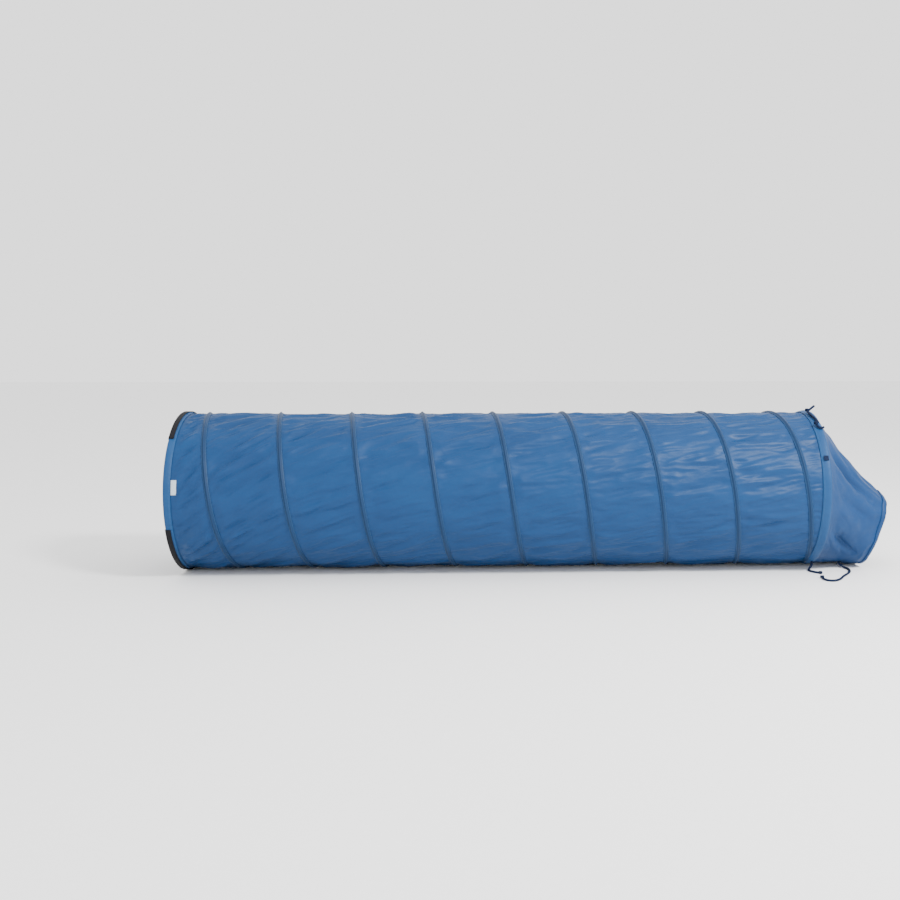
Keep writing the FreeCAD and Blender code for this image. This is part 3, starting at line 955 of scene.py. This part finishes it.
def tail_point(share, turn):
    """A point of the sleeve: share 0 is the round root, 1 is the mouth."""
    c, s = math.cos(turn), math.sin(turn)
    mouth_y = MOUTH_HALF_WIDTH * math.copysign(abs(c) ** SQUARENESS, c)
    mouth_z = MOUTH_HEIGHT / 2 * math.copysign(abs(s) ** SQUARENESS, s)
    y = ROOT_RADIUS * c * (1 - share) + mouth_y * share
    rise = ROOT_RADIUS * s * (1 - share) + mouth_z * share
    full_rise = ROOT_RADIUS * (1 - share) + MOUTH_HEIGHT / 2 * share
    height = AXIS_HEIGHT * (1 - share) + (FLOOR_GAP + MOUTH_HEIGHT / 2) * share
    reach = REACH_BOTTOM + (REACH_TOP - REACH_BOTTOM) * (rise / full_rise + 1) / 2
    return Vector((EXIT_X + reach * share, y, height + rise))


bm = bmesh.new()
line = [bm.verts.new((row / TAIL_ROWS, 0, -1)) for row in range(TAIL_ROWS + 1)]
edges = [bm.edges.new(pair) for pair in zip(line, line[1:])]
bmesh.ops.spin(bm, geom=line + edges, cent=(0, 0, 0), axis=(1, 0, 0), angle=2 * math.pi,
               steps=TAIL_COLUMNS, use_merge=True)
tail_grid = [(vert.co.x, math.atan2(vert.co.z, vert.co.y)) for vert in bm.verts]
for vert, (share, turn) in zip(bm.verts, tail_grid):
    vert.co = tail_point(share, turn)
bmesh.ops.recalc_face_normals(bm, faces=bm.faces)
tail = keep_mesh("tail_cloth", bm)
print("tail:", len(tail.data.vertices), "points")

# %% [markdown]
# ### Folds of the tail
# Slack cloth hanging from a round hoop to a low mouth breaks into a few
# large facets. Each facet's edge is a fold line from the hoop to the mouth,
# and beside it the cloth dips. The fold lines are listed in a table; the
# solver then wrinkles the cloth between them.

# %% Fold and settle the tail
# angle at the root and at the mouth in degrees (0 is -Y, 90 is up), depth, width in degrees
FOLDS = [(40, 28, 0.032, 8), (70, 62, 0.012, 8), (10, 4, 0.020, 8), (-24, -42, 0.034, 11),
         (118, 128, 0.028, 12), (90, 88, 0.014, 8), (150, 160, 0.022, 11), (192, 186, 0.018, 10),
         (-62, -70, 0.010, 9), (-110, -100, 0.012, 12)]
shares = np.array([share for share, _ in tail_grid])
turns = np.degrees(np.array([turn for _, turn in tail_grid]))
turns = np.degrees(np.arctan2(np.sin(np.radians(turns)), -np.cos(np.radians(turns))))
tail_points = read_points(tail.data)
inward = np.zeros(len(tail_points))
for root_turn, mouth_turn, depth, spread in FOLDS:
    at = root_turn * (1 - shares) + mouth_turn * shares
    away = (turns - at + 180) % 360 - 180
    fades = np.sin(np.clip(shares * 1.2, 0, 1) * math.pi) ** 0.8
    inward += depth * np.exp(-np.abs(away / spread) ** 1.15) * fades
facing = whole_normals(tail.data)
tail_points -= facing * inward[:, None]
sag = cloud_field(tail_points, 0.05, 11.0) * 0.006 + cloud_field(tail_points, 0.02, 5.0) * 0.0015
tail_points += facing * (sag * np.clip(shares * 6, 0, 1))[:, None]
write_points(tail.data, tail_points)
middle = np.array([EXIT_X, 0, AXIS_HEIGHT])
cut = middle + (tail_points - middle) * np.array([1.015, 1.035, 1.035])
loose = settle(tail, (shares < 0.03) | (shares > 0.985), cut, 16, gravity=0.5)
move = loose - tail_points
length = np.linalg.norm(move, axis=1, keepdims=True)
limit = 0.010
tail_points = tail_points + move * np.minimum(1, limit / np.maximum(length, 1e-9))
tail_points[:, 0] = np.clip(tail_points[:, 0], EXIT_X + 0.0004, mouth_high.x)
tail_points[:, 2] = np.maximum(tail_points[:, 2], 0.0009)
write_points(tail.data, tail_points)

# %% The tail's cloth and its hem
tail_bm = bmesh.new()
tail_bm.from_mesh(tail.data)
HEM_SHARE = 0.06
row_of = tail_bm.verts.layers.float.new("share")
for vert, share in zip(tail_bm.verts, shares):
    vert[row_of] = share
hem_bm = tail_bm.copy()
hem_row = hem_bm.verts.layers.float["share"]
edge_share = 1 - 2 / TAIL_ROWS
bmesh.ops.delete(hem_bm, geom=[v for v in hem_bm.verts if v[hem_row] < edge_share - 0.001], context="VERTS")
bmesh.ops.solidify(hem_bm, geom=hem_bm.faces[:], thickness=-0.0022)
for vert in hem_bm.verts:
    vert.co.z = max(vert.co.z, 0.0004)
    vert.co.x = min(vert.co.x, mouth_high.x)
tail_bm.free()
mouth_hem = keep_mesh("tail_mouth_hem", hem_bm)


def tail_uv(piece):
    """UV in metres: out from the hoop, and round the sleeve."""
    mesh = piece.data
    uv = mesh.uv_layers.new(name="UVMap")
    for polygon in mesh.polygons:
        angles = [math.atan2(mesh.vertices[v].co.z - 0.2, mesh.vertices[v].co.y) for v in polygon.vertices]
        for loop, vert, turn in zip(polygon.loop_indices, polygon.vertices, angles):
            turn = angles[0] + (turn - angles[0] + math.pi) % (2 * math.pi) - math.pi
            uv.data[loop].uv = (mesh.vertices[vert].co.x, turn * 0.24)


for piece in (tail, mouth_hem):
    tail_uv(piece)
    TAIL_CLOTH.put_on(piece)
tail.modifiers.new("finer", "SUBSURF").levels = 1
tail.modifiers["finer"].render_levels = 1
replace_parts(tail, "tail_sleeve")
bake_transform(tail, f"bay_{TURNS}", "tail_end", start=(EXIT_X + 0.02, 0, 0), end=(EXIT_X + 0.17, 0, 0))
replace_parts(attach(mouth_hem, "tail_end"), "tail_hem")
print("tail made")

# %% [markdown]
# ## Finish the pieces carried over from the design
# The hoops' wires, their crimped ferrules and the tie's patch are the right
# shape already, so they only get their finishes.

# %% Finishes on the carried-over pieces
for end in ("entry", "exit"):
    STEEL.put_on(bpy.data.objects[f"{end}_hoop_wire"])
    FERRULE.put_on(bpy.data.objects[f"{end}_hoop_ferrule"])
CORD.put_on(bpy.data.objects["tie_tab"])

# %% [markdown]
# ## Floor and light
# A pale floor that runs off into a pale world gives a plain backdrop. The
# key light is large and to the upper right, so the satin shows its wrinkles;
# a weak one opposite lifts the shadows.

# %% Floor, world and lights
bm = bmesh.new()
bmesh.ops.create_grid(bm, x_segments=8, y_segments=8, size=20)
floor = keep_mesh("floor", bm, smooth=False)
PAPER = Finish("floor_paper", "floor", Roughness=0.9)
speck = PAPER.cloud(PAPER.place(), 40.0)
PAPER.shade("Base Color", PAPER.between(speck, (0.90, 0.90, 0.90), (0.93, 0.93, 0.93)))
PAPER.put_on(floor)

world = bpy.data.worlds.new("studio")
world.use_nodes = True
world.node_tree.nodes["Background"].inputs["Color"].default_value = (1, 1, 1, 1)
world.node_tree.nodes["Background"].inputs["Strength"].default_value = 1.9
bpy.context.scene.world = world


def soft_light(name, place, aim, size, power):
    light = bpy.data.lights.new(name, "AREA")
    light.shape = "DISK"
    light.size = size
    light.energy = power
    lamp = bpy.data.objects.new(name, light)
    lamp.location = place
    lamp.rotation_euler = (Vector(aim) - Vector(place)).to_track_quat("-Z", "Y").to_euler()
    bpy.context.scene.collection.objects.link(lamp)


soft_light("key", (2.6, -2.6, 3.4), (0.1, 0, 0.3), 0.9, 330)
soft_light("fill", (-3.0, -3.5, 1.6), (0, 0, 0.3), 2.5, 18)
print("lights placed")
